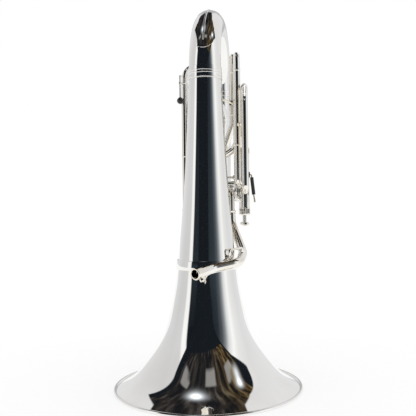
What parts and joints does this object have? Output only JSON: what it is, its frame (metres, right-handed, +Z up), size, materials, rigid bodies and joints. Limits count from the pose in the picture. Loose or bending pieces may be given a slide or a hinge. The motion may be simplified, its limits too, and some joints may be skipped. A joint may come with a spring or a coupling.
{
  "type": "marching tuba",
  "caption": "Silver-plated marching tuba standing on its flared bell, with tapered bows, piston valves, pull-out tuning slides and a sweeping leadpipe.",
  "frame": {"origin": "centre of the bell's rim, in the plane it stands on", "axes": "+Z up along the bell's axis from the rim to the top bow, +Y from the bell towards the rear branch, +X from the bell towards the valves"},
  "size_m": [0.508, 0.6108, 1.067],
  "materials": {
    "silver_plate": "mirror-polished silver plate over brass",
    "piston_alloy": "lapped nickel alloy",
    "black_plastic": "gloss",
    "black_rubber": "smooth, slightly shiny"
  },
  "bodies": {
    "horn": {"bell_braces": "silver_plate", "bell_collar": "silver_plate", "bell_flare": "silver_plate", "bell_rim_bead": "silver_plate", "bell_stem": "silver_plate", "bottom_bow": "silver_plate", "bow_ferrule": "silver_plate", "bow_guard": "silver_plate", "branch_ferrules": "silver_plate", "end_cap_1": "silver_plate", "end_cap_2": "silver_plate", "end_cap_3": "silver_plate", "feed_tube": "silver_plate", "finger_hook": "silver_plate", "fourth_branch": "silver_plate", "hook_sleeve": "black_rubber", "inner_top_bow": "silver_plate", "leadpipe": "silver_plate", "leadpipe_brace": "silver_plate", "leadpipe_entry": "silver_plate", "mouthpiece_receiver": "silver_plate", "rear_branch": "silver_plate", "rear_ferrule": "silver_plate", "return_bow": "silver_plate", "rod_guide": "silver_plate", "slide_1_tubes": "silver_plate", "slide_2_tubes": "silver_plate", "slide_3_tubes": "silver_plate", "slide_braces": "silver_plate", "stem_cap_1": "silver_plate", "stem_cap_2": "silver_plate", "stem_cap_3": "silver_plate", "third_branch": "silver_plate", "top_bow": "silver_plate", "tuning_sleeves": "silver_plate", "valve_casing_1": "silver_plate", "valve_casing_2": "silver_plate", "valve_casing_3": "silver_plate", "valve_knuckles": "silver_plate", "water_key_saddle": "silver_plate"},
    "valve_1": {"piston_1": "piston_alloy", "valve_stem_1": "piston_alloy", "finger_button_1": "silver_plate", "valve_spring_1": "piston_alloy"},
    "valve_2": {"piston_2": "piston_alloy", "valve_stem_2": "piston_alloy", "finger_button_2": "silver_plate", "valve_spring_2": "piston_alloy"},
    "valve_3": {"piston_3": "piston_alloy", "valve_stem_3": "piston_alloy", "finger_button_3": "silver_plate", "valve_spring_3": "piston_alloy"},
    "tuning_slide": {"main_tuning_slide": "silver_plate", "pull_rod": "silver_plate", "pull_knob": "black_plastic"},
    "slide_1": {"valve_slide_1": "silver_plate"},
    "slide_2": {"valve_slide_2": "silver_plate"},
    "slide_3": {"valve_slide_3": "silver_plate"},
    "water_key_lever": {"water_key": "silver_plate"},
    "neck_screw": {"receiver_screw": "silver_plate"}
  },
  "joints": [
    {"name": "valve_1_press", "type": "slide", "parent": "horn", "child": "valve_1", "axis": [0, 0, 1], "range_m": [0, 0.018], "stiffness_N_per_m": 60, "springref_m": -0.03, "deforming": ["valve_spring_1"]},
    {"name": "valve_2_press", "type": "slide", "parent": "horn", "child": "valve_2", "axis": [0, 0, 1], "range_m": [0, 0.018], "stiffness_N_per_m": 60, "springref_m": -0.03, "deforming": ["valve_spring_2"]},
    {"name": "valve_3_press", "type": "slide", "parent": "horn", "child": "valve_3", "axis": [0, 0, 1], "range_m": [0, 0.018], "stiffness_N_per_m": 60, "springref_m": -0.03, "deforming": ["valve_spring_3"]},
    {"name": "tuning_pull", "type": "slide", "parent": "horn", "child": "tuning_slide", "axis": [0, 0, 1], "range_m": [0, 0.036]},
    {"name": "slide_1_pull", "type": "slide", "parent": "horn", "child": "slide_1", "axis": [0, 0, 1], "range_m": [0, 0.08]},
    {"name": "slide_2_pull", "type": "slide", "parent": "horn", "child": "slide_2", "axis": [-1, 0, 0], "range_m": [0, 0.03]},
    {"name": "slide_3_pull", "type": "slide", "parent": "horn", "child": "slide_3", "axis": [0, 0, 1], "range_m": [0, 0.08]},
    {"name": "water_key_open", "type": "hinge", "parent": "horn", "child": "water_key_lever", "pos_m": [0.109, 0.04305, 0.806], "axis": [-1, 0, 0], "range_deg": [0, 20], "stiffness_Nm_per_rad": 0.05, "springref_deg": -28.65},
    {"name": "neck_screw_turn", "type": "hinge", "parent": "horn", "child": "neck_screw", "pos_m": [-0.02037, -0.14932, 0.32033], "axis": [0.5354, -0.2875, -0.7942], "range_deg": [0, 360]}
  ]
}
